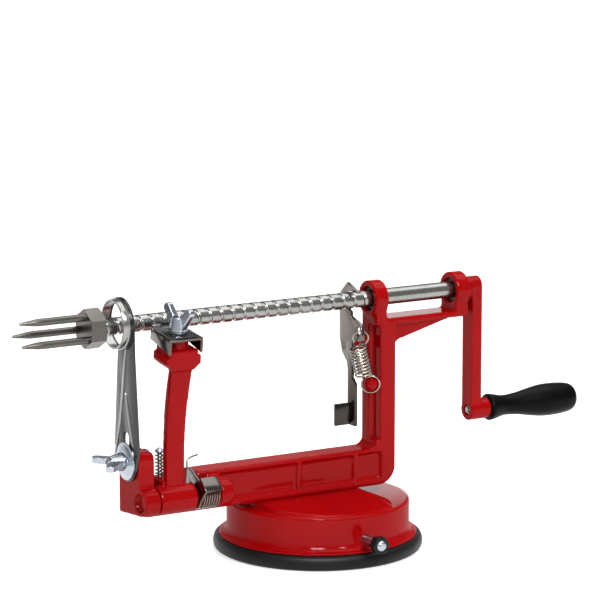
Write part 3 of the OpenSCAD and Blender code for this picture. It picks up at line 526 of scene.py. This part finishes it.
def cast_piece(node, name, finish_name, body, skin=None, soften=None, form=None, hollow=None):
    """A casting: the node's shape taken up in a fine even skin, then relaxed so that its edges are round.

    A hollow is cut away and a form is added before that.
    """
    me = node_copy(node)
    if hollow:
        me = without(me, name, *hollow)
    if form:
        me = with_form(me, *form)
    me = worked(me, name, [
        ("REMESH", {"mode": "VOXEL", "voxel_size": skin or sizes().skin}),
        ("SMOOTH", {"factor": 0.5, "iterations": soften or sizes().soften})])
    settle(name, me, finish_name, body, [node], 80)


def edged_piece(node, name, finish_name, body, width=None):
    """Pressed or machined metal: the node's flat faces joined up and their edges broken by a narrow round."""
    me = node_copy(node)
    bm = bmesh.new()
    bm.from_mesh(me)
    bmesh.ops.dissolve_limit(bm, angle_limit=math.radians(1.5), verts=bm.verts, edges=bm.edges)
    bm.to_mesh(me)
    bm.free()
    me = worked(me, name, [("BEVEL", {
        "width": width or sizes().sheet_edge, "segments": 2, "limit_method": "ANGLE",
        "angle_limit": math.radians(40), "harden_normals": False})])
    settle(name, me, finish_name, body, [node], 45)


def on_arm(p):
    """Points of the upright arm, leaned about the pivot."""
    p = np.asarray(p, float)
    c, s = math.cos(LEAN), math.sin(LEAN)
    return np.stack([p[..., 0], PIVOT_Y + p[..., 1] * c - p[..., 2] * s,
                     PIVOT_Z + p[..., 1] * s + p[..., 2] * c], axis=-1)


def stud_line():
    """Foot of the holder's stud at the pivot's height on the upright arm, and its direction."""
    seat = on_arm([STUD_X, STUD_Y, 0])
    return seat, on_arm([STUD_X, STUD_Y, 1]) - seat


# Operators


class PEELER_OT_castings(bpy.types.Operator):
    """Frame, peeling arm and crank arm as enamelled castings"""

    bl_idname = "peeler.castings"
    bl_label = "Castings"

    def execute(self, context):
        # The web under the bracket leaves the column in a fillet and runs on to a long thin point
        fillet = [(38.8, 90.0), (40.0, 90.2), (40.8, 92.4), (41.2, 94.4), (42.1, 95.7), (43.6, 96.6)]
        point = [(45.5, 97.0), (76.5, 105.3), (76.5, 106.0), (60.0, 106.0), (46.0, 99.0), (38.8, 98.0)]
        web = plate_along_y(fillet + point, -3.0, 3.0)
        cast_piece("frame", "cast_frame", "enamel", "frame", form=web)
        # The arm's head is low between the holder's sides, and a boss about the stud carries the holder
        half, front, back, floor, roof, boss_r = 7.6, -6.0, 12.0, 72.2, 77.5, 5.0
        low, high = STUD_X - half, STUD_X + half
        p, f = plate_along_y([(low, floor), (high, floor), (high, roof), (low, roof)], front, back)
        boss = turned([70.0, 76.75], [boss_r, boss_r], *stud_line())
        cast_piece("peeler_arm", "cast_arm", "enamel", "arm", SMALL_SKIN, form=boss,
                   hollow=(on_arm(p), f))
        cast_piece("crank_arm", "cast_crank", "enamel", "shaft", SMALL_SKIN)
        return {"FINISHED"}


class PEELER_OT_base(bpy.types.Operator):
    """Enamelled housing with its plateau, and the rubber ring under it"""

    bl_idname = "peeler.base"
    bl_label = "Base"

    def execute(self, context):
        self.housing()
        ring = [(0, 5.0), (37.1, 5.0), (40.1, 7.15), (47.6, 7.15), (49.3, 6.4), (50, 4.4), (50, 2.6),
                (49.5, 1.0), (47.8, 0), (40.6, 0), (36.6, 1.6), (0, 2.8)]
        r, z = rounded(ring, 0.8)
        put("rubber_ring", *spun(z, r, (0, 0, 0), Z_AXIS, 192), "rubber", "frame", ["suction_cup"],
            "black_rubber", 60)
        return {"FINISHED"}

    def housing(self):
        """A profile spun about Z, from the crown down a flare to the flange and up inside, with a plateau."""
        top, roof, foot = 24.2, 21.7, 7.25
        wall, flange, inner = 43.6, 47.2, 41.1
        flare_r, flare_z = flange - wall, 11.7
        a = np.radians(np.arange(10, 90, 8))
        flare = np.stack([flange - flare_r * np.cos(a), flare_z - flare_r * np.sin(a)], axis=-1)
        outer = [(0, top), (wall, top), (wall, flare_z + 0.2), *flare.tolist(), (flange, 7.9), (flange, foot),
                 (inner, foot), (inner, roof), (0, roof)]
        r, z = rounded(outer, 1.4)
        # Points lie closer together on the crown, inside its rounded edge, than on the rest
        crown_r, sides = 42.2, 360
        k = int(np.argmax(r > crown_r))
        crown, rest = self.even(r[:k + 1], z[:k + 1], 0.4), self.even(r[k:], z[k:], 1.0)
        r, z = (np.append(c[:-1], e) for c, e in zip(crown, rest))
        on_crown = np.arange(len(r)) < np.argmax(r > crown_r)
        p, f = spun(z, r, (0, 0, 0), Z_AXIS, sides)
        # Plateau: flat under the bar, falling to the crown at the front and back, cut square at its ends
        rise, least, flat, fall = 3.0, 0.3, 14, 27.4
        mid_x, half_x, ramp_x, rim_r = -8.7, 28.9, 1.2, 41.6
        slope = 1 - np.clip((np.abs(p[:, 1]) - flat) / fall, 0, 1)
        ends = smooth(half_x, half_x - ramp_x, np.abs(p[:, 0] - mid_x))
        edge = smooth(rim_r, rim_r - 1, r) * on_crown
        p[:, 2] += (least + (rise - least) * slope) * ends * np.repeat(edge, sides)
        put("enamelled_housing", p, f, "base_enamel", "frame", ["base_housing"], "red_enamel", 60)

    def even(self, r, z, step):
        """Fills long stretches of a profile with points about step apart."""
        p = np.stack([r, z], axis=-1)
        n = np.maximum(1, (np.hypot(np.diff(r), np.diff(z)) / step).astype(int))
        stretches = [np.linspace(a, b, k, endpoint=False) for a, b, k in zip(p, p[1:], n)]
        return np.concatenate([*stretches, p[-1:]]).T


class PEELER_OT_shaft(bpy.types.Operator):
    """Threaded shaft, fork and turned grip"""

    bl_idname = "peeler.shaft"
    bl_label = "Shaft, fork and grip"

    def execute(self, context):
        self.rod()
        self.hub()
        low, high = corners("fork_prongs")
        s, r = rounded([(low[0], 0.5), (low[0] + 0.2, 0.6), (low[0] + 8.5, 1.75), (high[0], 1.75)], 2.0, 8)
        ang = np.radians([18, 138, 258])
        prongs = [turned(s, r, (0, -6 * math.sin(a), SHAFT_Z + 6 * math.cos(a)), X_AXIS, 32) for a in ang]
        put("pointed_prongs", *joined(*prongs), "ground", "shaft", ["fork_prongs"], "steel", 50)
        self.grip()
        return {"FINISHED"}

    def rod(self):
        """Rod along X: a groove wound right-handed from the fork to the front bearing, plain behind it."""
        pitch, depth = sizes().pitch / MM, sizes().groove / MM
        # Stations are counted from shift: the groove's middle lies 0.85 of a pitch after each turn's start
        shift = -118.9 + (0.85 - 0.5) * pitch
        rod = threaded((-123.3 - shift, 84.6 - shift), 4.0, (pitch, depth), (-117 - shift, 27 - shift),
                       (shift, 0, SHAFT_Z), X_AXIS, 64, 24, 0.15)
        end = corners("drive_shaft")[1][0]
        s, r = rounded([(83.6, 3.0), (end - 0.4, 3.0), (end, 2.6)], 0.2)
        spigot = turned(s, r, (0, 0, SHAFT_Z), X_AXIS)
        put("threaded_rod", *joined(rod, spigot), "zinc_x", "shaft", ["drive_shaft"], "steel", 50)

    def hub(self):
        """Six-sided hub: the lesser of a hexagon's radius and a chamfer cone's, with a soft edge between."""
        low, high = corners("fork_hub")
        long, corner, chamfer, slope, soft, sides = high[0] - low[0], 9.4, 0.7, 1.15, 0.06, 180
        half_side = math.pi / 6
        half = corner * math.cos(half_side)
        hexa = half / np.cos((angles(sides) + half_side) % (2 * half_side) - half_side)
        end = np.linspace(0, 1.6, 14)
        s = np.concatenate([end, np.linspace(1.8, long - 1.8, 8), long - end[::-1]])
        cone = half + chamfer + slope * np.minimum(s, long - s)
        gap = hexa - cone[:, None]
        r = hexa - 0.5 * (gap + np.sqrt(gap * gap + soft * soft))
        put("fork_nut", *turned(low[0] + s, r, (0, 0, SHAFT_Z), X_AXIS, sides), "ground", "shaft",
            ["fork_hub"], "steel", 28)

    def grip(self):
        """Grip about X: a collar that thins to the neck, a cosine swelling, and a blunt, rounded end.

        Its radius is a function of t, the share of its length.
        """
        low, high = corners("crank_grip")
        length = high[0] - low[0] - 1.6
        big = 0.5 * (high[1] - low[1])
        neck_t, widest_t, thin = 0.2, 0.7, 0.62
        last = 1 - widest_t
        t = np.concatenate([np.linspace(0, widest_t, 60),
                            widest_t + last * np.sin(np.linspace(0.02, 1, 40) * math.pi / 2)])
        neck = thin + 0.2 * (1 + np.cos(math.pi * t / neck_t)) / 2
        swell = thin + (1 - thin) * (1 - np.cos(math.pi * (t - neck_t) / (widest_t - neck_t))) / 2
        past = np.clip((t - widest_t) / last, 0, 1)
        tail = (1 - 0.2 * past ** 2) * np.sqrt(1 - past ** 12)
        r = big * np.where(t < neck_t, neck, np.where(t < widest_t, swell, tail))
        r = r - 0.5 * (1 - smooth(0, 0.015, t))
        axis = (0, 0, 0.5 * (low[2] + high[2]))
        a, b = corners("grip_axle")
        r_pin = 0.5 * (b[2] - a[2])
        s_pin, q_pin = rounded([(a[0], 0.5), (a[0] + 0.15, 1.3), (a[0] + 0.9, r_pin), (b[0], r_pin)], 0.6)
        put("riveted_axle", *turned(s_pin, q_pin, axis, X_AXIS, 40), "zinc_x", "shaft", ["grip_axle"],
            "steel", 50)
        put("turned_grip", *turned(low[0] + length * t, r, axis, X_AXIS, 96), "grip", "grip",
            ["crank_grip"], "black_grip", 60)


class PEELER_OT_slicer(bpy.types.Operator):
    """Slicer blade with pressed ribs, corer ring, bolt, dished washer and wing nut"""

    bl_idname = "peeler.slicer"
    bl_label = "Slicer and corer"

    def execute(self, context):
        edged_piece("slicer_blade", "slotted_blade", "blade", "frame", width=0.18 * MM)
        self.ribs()
        low, high = corners("corer_ring")
        a, b = low[0], high[0]
        s = [a, a, a + 0.25, b - 1.5, b - 1.2, b - 1, b - 0.8, b - 0.5, b, b]
        r = [10.6, 11.3, 11.5, 11.5, 11.85, 12, 11.85, 11.5, 11.5, 10.6]
        put("rolled_ring", *ringed(s, r, (0, 0, SHAFT_Z + 0.8), X_AXIS), "zinc_x", "frame", ["corer_ring"],
            "blade_steel", 40)
        self.bolt()
        x = corners("slicer_washer")[1][0]
        s = np.array([1.4, 0.35, 0.0, 0.0, 0.15, 0.75, 0.9, 0.9, 1.15, 2.4, 2.4])
        r = [2.6, 7.2, 7.6, 8.4, 8.7, 8.7, 8.5, 7.9, 7.4, 5.0, 2.6]
        put("dished_washer", *ringed(-s, r, (x, BOLT_Y, BOLT_Z), X_AXIS, 64), "zinc", "frame",
            ["slicer_washer"], "steel", 50)
        cast_piece("slicer_wing_nut", "cast_wing_nut", "zinc", "slicer_nut", NUT_SKIN, NUT_SOFTEN)
        return {"FINISHED"}

    def ribs(self):
        """Pressed ribs on the blade's front: low half-round beads on a cubic in Z and a straight branch."""
        face = corners("slicer_blade")[0][0]
        long_z, long_y = [108.9, 92.5, 73.6, 54.4], [-5.7, -2.5, 0.9, 7.3]
        branch_z, branch_y = [87.2, 62.5], [-4.3, -11.7]
        beads = []
        for at_z, at_y, degree, count in ((long_z, long_y, 3, 60), (branch_z, branch_y, 1, 30)):
            z = np.linspace(at_z[0], at_z[-1], count)
            y = np.polyval(np.polyfit(at_z, at_y, degree), z)
            width = 0.15 + 0.65 * np.sin(math.pi * np.linspace(0, 1, count)) ** 0.3
            p, f = wire(np.stack([np.zeros(count), y, z], axis=-1), width, 16)
            beads.append((p * [0.6, 1, 1] + [face, 0, 0], f))
        # The beads' finish is a painted highlight, far brighter than the blade
        put("pressed_ribs", *joined(*beads), "crest", "frame", (), "blade_steel", 60)

    def bolt(self):
        """Bolt along X: threaded shank and a low domed head."""
        low, high = corners("slicer_bolt")
        axis = (0, BOLT_Y, BOLT_Z)
        tip, end, head = low[0], high[0], high[0] - 2.6
        shank = threaded((tip, head), 2.5, BOLT_THREAD, (tip, -90), axis, X_AXIS)
        s, r = rounded([(head, 4.7), (end - 1.2, 4.4), (end, 2.6)], 1.2)
        put("threaded_bolt", *joined(shank, turned(s, r, axis, X_AXIS, 48)), "zinc_x", "frame",
            ["slicer_bolt"], "steel", 60)


class PEELER_OT_arm(bpy.types.Operator):
    """Blade holder, peeling blade, stud, washer, wing nut and stop screw on the arm"""

    bl_idname = "peeler.arm"
    bl_label = "Arm fittings"

    def execute(self, context):
        edged_piece("blade_holder", "folded_holder", "nickel", "arm", width=0.3 * MM)
        edged_piece("peeling_blade", "curled_blade", "blade", "arm", width=0.12 * MM)
        seat, up = stud_line()
        stud = threaded((64.5, 85.6), 2.5, BOLT_THREAD, (76, 90), seat, up)
        put("threaded_stud", *stud, "zinc", "arm", ["holder_stud"], "steel", 60)
        s = [78.8, 78.8, 79.0, 79.6, 79.8, 79.8]
        r = [2.6, 4.2, 4.4, 4.4, 4.2, 2.6]
        put("flat_washer", *ringed(s, r, seat, up, 64), "zinc", "arm", ["holder_washer"], "steel", 40)
        cast_piece("holder_wing_nut", "cast_holder_nut", "zinc", "holder_nut", NUT_SKIN, NUT_SOFTEN)
        self.stop()
        edged_piece("arm_latch", "pressed_latch", "nickel", "latch")
        return {"FINISHED"}

    def stop(self):
        """Stop screw along Z: threaded shank under a round head."""
        low, high = corners("stop_screw")
        axis = (*middle("stop_screw")[:2], 0)
        tip, end, head = low[2], high[2], high[2] - 2.1
        shank = threaded((tip, head + 0.3), 1.25, STOP_THREAD, (tip, head + 2), axis, Z_AXIS, 24)
        s, r = rounded([(head, 2.2), (head + 0.25, 2.4), (head + 0.9, 2.35), (end, 0.6)], 0.8)
        put("stop_screw_turned", *joined(shank, turned(s, r, axis, Z_AXIS, 40)), "zinc", "stop",
            ["stop_screw"], "steel", 60)


class PEELER_OT_springs(bpy.types.Operator):
    """Torsion spring, stop spring and release spring as round wire"""

    bl_idname = "peeler.springs"
    bl_label = "Springs"

    # Radii of the springs' wire
    stop_r, torsion_r, release_r = 0.35, 0.4, 0.45

    def execute(self, context):
        k = sizes().wire_sides
        put("wound_stop_spring", *wire(self.stop_path(), self.stop_r, k), "wire", "arm", ["stop_spring"],
            "nickel_plate", 60)
        put("wound_torsion_spring", *wire(self.torsion_path(), self.torsion_r, k), "oiled_wire", "arm",
            ["arm_spring"], "nickel_plate", 60)
        # The release spring's ends sit on two bodies, but it rides on neither
        path, peg, eye = self.pull_path()
        name = "wound_release_spring"
        ob = shown(name, closed_mesh(name, *wire(path, self.release_r, k)), "wire")
        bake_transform(ob)
        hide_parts("release_spring")
        return {"FINISHED"}

    def stop_path(self):
        """Six turns about Z round the stop screw, the wire's radius inside its box at both ends."""
        low, high = corners("stop_spring")
        x, y = middle("stop_screw")[:2]
        coil_r, turns = 2.0, 6
        u = np.linspace(0, 1, turns * 24 + 1)
        a = TAU * turns * u
        z = low[2] + self.stop_r + (high[2] - low[2] - 2 * self.stop_r) * u
        return np.stack([x + coil_r * np.cos(a), y + coil_r * np.sin(a), z], axis=-1)

    def torsion_path(self):
        """Tip bent on a hyperbola, straight leg, and seven turns, as Y, Z and X from the pivot."""
        x0 = corners("arm_spring")[0][0] + self.torsion_r
        r, start, turns, step = 6.0, math.radians(-20), 7, 1.27
        leg = np.linspace(17, 0.3, 20)
        c, s = math.cos(start), math.sin(start)
        foot = np.stack([r * c - leg * s, r * s + leg * c, np.full(20, x0)], axis=-1)
        out = np.linspace(6.5, 0.3, 24)
        tip = foot[0] + np.stack([0.08 * out, 3.2 - 9 / (out + 2.81), out], axis=-1)
        a = start - np.linspace(0, TAU * turns, turns * 28 + 1)
        coil = np.stack([r * np.cos(a), r * np.sin(a), x0 + step * (start - a) / TAU], axis=-1)
        p = np.concatenate([tip, foot, coil])
        # The bends between tip, leg and coil are eased by averaging neighbours
        last = 50
        for _ in range(12):
            p[1:last] = (p[:last - 1] + p[1:last] + p[2:last + 1]) / 3
        return np.stack([p[:, 2], PIVOT_Y + p[:, 0], PIVOT_Z + p[:, 1]], axis=-1)

    def pull_path(self):
        """Loop round the peg, ten turns that leave the axis and come back to it, and a loop in the ear."""
        peg = np.array([25.7, -6.0, SHAFT_Z - 40.5])
        eye = np.array([18.0, -8.0, SHAFT_Z - 13.6])
        up = (eye - peg) / np.linalg.norm(eye - peg)
        # The loops face the front left, and the turns hang out of the line between them
        facing, hang = [-0.507, -0.862, 0.0], np.array([-2.8, -0.5, 0.0])
        side = np.cross(up, facing)
        side /= np.linalg.norm(side)
        back = np.cross(up, side)
        low_r, high_r, turns, coil_r = 4.3, 3.6, 10, 3.9
        mid = eye - high_r * up
        length = np.linalg.norm(mid - peg) - low_r - high_r
        a = np.radians(np.linspace(-230, 70, 40))[:, None]
        low = peg + low_r * (np.cos(a) * side + np.sin(a) * up)
        u = np.linspace(0, 1, turns * 28 + 1)[:, None]
        turn = u * turns
        grow = np.minimum(1, np.minimum(2 * turn, 2 * (turns - turn)))
        b = math.pi + TAU * turn
        coil = peg + low_r * up + length * u * up + coil_r * grow * (np.cos(b) * side + np.sin(b) * back)
        coil = coil + grow * hang
        c = np.radians(np.linspace(-70, 208, 40))[:, None]
        high = mid + high_r * (np.cos(c) * side + np.sin(c) * up)
        return np.concatenate([low, coil, high]), peg, eye


class PEELER_OT_fittings(bpy.types.Operator):
    """Release plate, pins, bushes, axle, lever and collar"""

    bl_idname = "peeler.fittings"
    bl_label = "Plate, pins and lever"

    def execute(self, context):
        edged_piece("release_plate", "pressed_release", "painted_reflection_nickel", "release")
        # The bushes turn in the casting, so they are round and 0.1 mm smaller than its bores
        for node in ("front_bush", "rear_bush"):
            low, high = corners(node)
            a, b = low[0], high[0]
            outer, inner, edge = 5.7, 4.05, 0.25
            s = [a, a + edge, b - edge, b, b, a]
            r = [outer - edge, outer, outer, outer - edge, inner, inner]
            put(node + "_turned", *ringed(s, r, (0, 0, SHAFT_Z), X_AXIS), "plastic", "sleeves", [node],
                "dark_bush", 30)
        edged_piece("suction_lever", "moulded_lever", "plastic", "lever", width=0.9 * MM)
        edged_piece("axle_collar", "six_sided_collar", "plastic", "lever", width=0.35 * MM)
        edged_piece("cam_axle", "turned_cam_axle", "zinc", "lever", width=0.2 * MM)
        # The pivot pin was painted over with the frame, the others are bare
        for node, name in (("arm_pivot_pin", "enamel"), ("release_pin", "nickel"), ("foot_screws", "zinc"),
                           ("cup_stem", "zinc")):
            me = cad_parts[node].data
            me.materials.clear()
            me.materials.append(finish(name))
        return {"FINISHED"}


class PEELER_OT_stage(bpy.types.Operator):
    """Pale floor, soft lights and the camera at the photograph's angle"""

    bl_idname = "peeler.stage"
    bl_label = "Stage"

    def execute(self, context):
        self.camera(context)
        self.floor(context)
        self.lights(context)
        return {"FINISHED"}

    def camera(self, context):
        """Camera left of the front and above, with angles and millimetres fitted to the photograph."""
        turn, tilt = math.radians(30.4416), math.radians(10.5082)
        across, above, away = -10.811, 119.413, 1577.32
        focal_px, width_px, sensor = 3297.42, 590, 36
        right = np.array([math.cos(turn), -math.sin(turn), 0.0])
        ahead = np.array([math.sin(turn) * math.cos(tilt), math.cos(turn) * math.cos(tilt), -math.sin(tilt)])
        up = np.cross(right, ahead)
        place = (across * right + above * up - away * ahead) * MM
        cam = bpy.data.cameras.new("camera")
        cam.sensor_fit = "HORIZONTAL"
        cam.sensor_width = sensor
        cam.lens = sensor * focal_px / width_px
        cam.clip_start = 0.05
        ob = bpy.data.objects.new("camera", cam)
        axes = np.stack([right, up, -ahead, place], axis=1)
        ob.matrix_world = Matrix([*axes.tolist(), [0, 0, 0, 1]])
        context.scene.collection.objects.link(ob)
        context.scene.camera = ob

    def floor(self, context):
        """Flat floor that runs up into a backdrop on an arc; it looks white, less the object's shadow."""
        reach, half, bend, arc_r, rows = 3.0, 3.5, 1.4, 0.6, 60
        t = np.linspace(-reach, reach, rows)
        arc = np.clip(t - bend, 0, None)
        y = np.where(t < bend, t, bend + arc_r * np.sin(arc))
        z = np.where(t < bend, 0.0, arc_r * (1 - np.cos(arc)))
        x = np.array([-half, half])
        p = np.stack(np.broadcast_arrays(x, y[:, None], z[:, None]), axis=-1)
        me = bpy.data.meshes.new("floor")
        me.from_pydata(p.reshape(-1, 3).tolist(), [], grid_faces(rows, 2, False))
        me.polygons.foreach_set("use_smooth", [True] * len(me.polygons))
        m, tree, _ = new_finish("white_paper")
        paper = add(tree, "ShaderNodeBsdfPrincipled", {"Base Color": (0.86, 0.86, 0.86, 1), "Roughness": 0.8})
        glow = add(tree, "ShaderNodeEmission", {"Color": (1, 1, 1, 1), "Strength": 0.66})
        path = add(tree, "ShaderNodeLightPath")
        direct = add(tree, "ShaderNodeMath", {"operation": "MAXIMUM"},
                     {0: (path, "Is Camera Ray"), 1: (path, "Is Glossy Ray")})
        seen = add(tree, "ShaderNodeMath", {"operation": "MAXIMUM"},
                   {0: (direct, "Value"), 1: (path, "Is Transmission Ray")})
        white = add(tree, "ShaderNodeMixShader", links={0: (seen, "Value"), 2: (glow, "Emission")})
        both = add(tree, "ShaderNodeAddShader", links={0: (paper, "BSDF"), 1: (white, "Shader")})
        add(tree, "ShaderNodeOutputMaterial", links={"Surface": (both, "Shader")})
        me.materials.append(m)
        ob = bpy.data.objects.new("floor", me)
        context.scene.collection.objects.link(ob)

    def lights(self, context):
        """A wide soft lamp above, a smaller one at the front, a weak one from the left, and a pale sky.

        The glint lamp over the camera shows in reflections alone.
        """
        target = Vector((0, 0, 0.08))
        for name, place, size, power, diffuse in (
                ("top", (0.35, 0.1, 1.5), 1.4, 15, True),
                ("front", (0.05, -1.45, 1.15), 0.22, 12, True),
                ("glint", (-0.55, -0.95, 1.1), 0.35, 32, False),
                ("left", (-1.5, -0.5, 0.8), 0.9, 2.4, True)):
            lamp = bpy.data.lights.new(name, "AREA")
            lamp.size = size
            lamp.energy = power
            ob = bpy.data.objects.new(name, lamp)
            ob.visible_diffuse = diffuse
            ob.location = place
            ob.rotation_euler = (target - Vector(place)).to_track_quat("-Z", "Y").to_euler()
            context.scene.collection.objects.link(ob)
        world = bpy.data.worlds.new("sky")
        world.use_nodes = True
        world.node_tree.nodes["Background"].inputs["Color"].default_value = (1, 1, 1, 1)
        world.node_tree.nodes["Background"].inputs["Strength"].default_value = 0.3
        context.scene.world = world
        context.scene.view_settings.view_transform = "Standard"


class PEELER_PT_panel(bpy.types.Panel):
    """Lists the pieces and their sizes"""

    bl_idname = "PEELER_PT_panel"
    bl_label = "Apple Peeler"
    bl_space_type = "VIEW_3D"
    bl_region_type = "UI"
    bl_category = "Peeler"

    def draw(self, context):
        for group in (context.scene.peeler_sizes, context.scene.peeler_finishes):
            for key in group.__annotations__:
                self.layout.prop(group, key)
        for op in STEPS:
            self.layout.operator(op.bl_idname)


STEPS = (PEELER_OT_stage, PEELER_OT_castings, PEELER_OT_base, PEELER_OT_shaft, PEELER_OT_slicer,
         PEELER_OT_arm, PEELER_OT_springs, PEELER_OT_fittings)
CLASSES = (PeelerSizes, PeelerFinishes, *STEPS, PEELER_PT_panel)


def register():
    for c in CLASSES:
        bpy.utils.register_class(c)
    bpy.types.Scene.peeler_sizes = PointerProperty(type=PeelerSizes)
    bpy.types.Scene.peeler_finishes = PointerProperty(type=PeelerFinishes)


def unregister():
    del bpy.types.Scene.peeler_finishes
    del bpy.types.Scene.peeler_sizes
    for c in reversed(CLASSES):
        bpy.utils.unregister_class(c)


def main():
    register()
    for op in STEPS:
        group, name = op.bl_idname.split(".")
        getattr(getattr(bpy.ops, group), name)()
    bpy.context.view_layer.update()


if __name__ == "__main__":
    main()
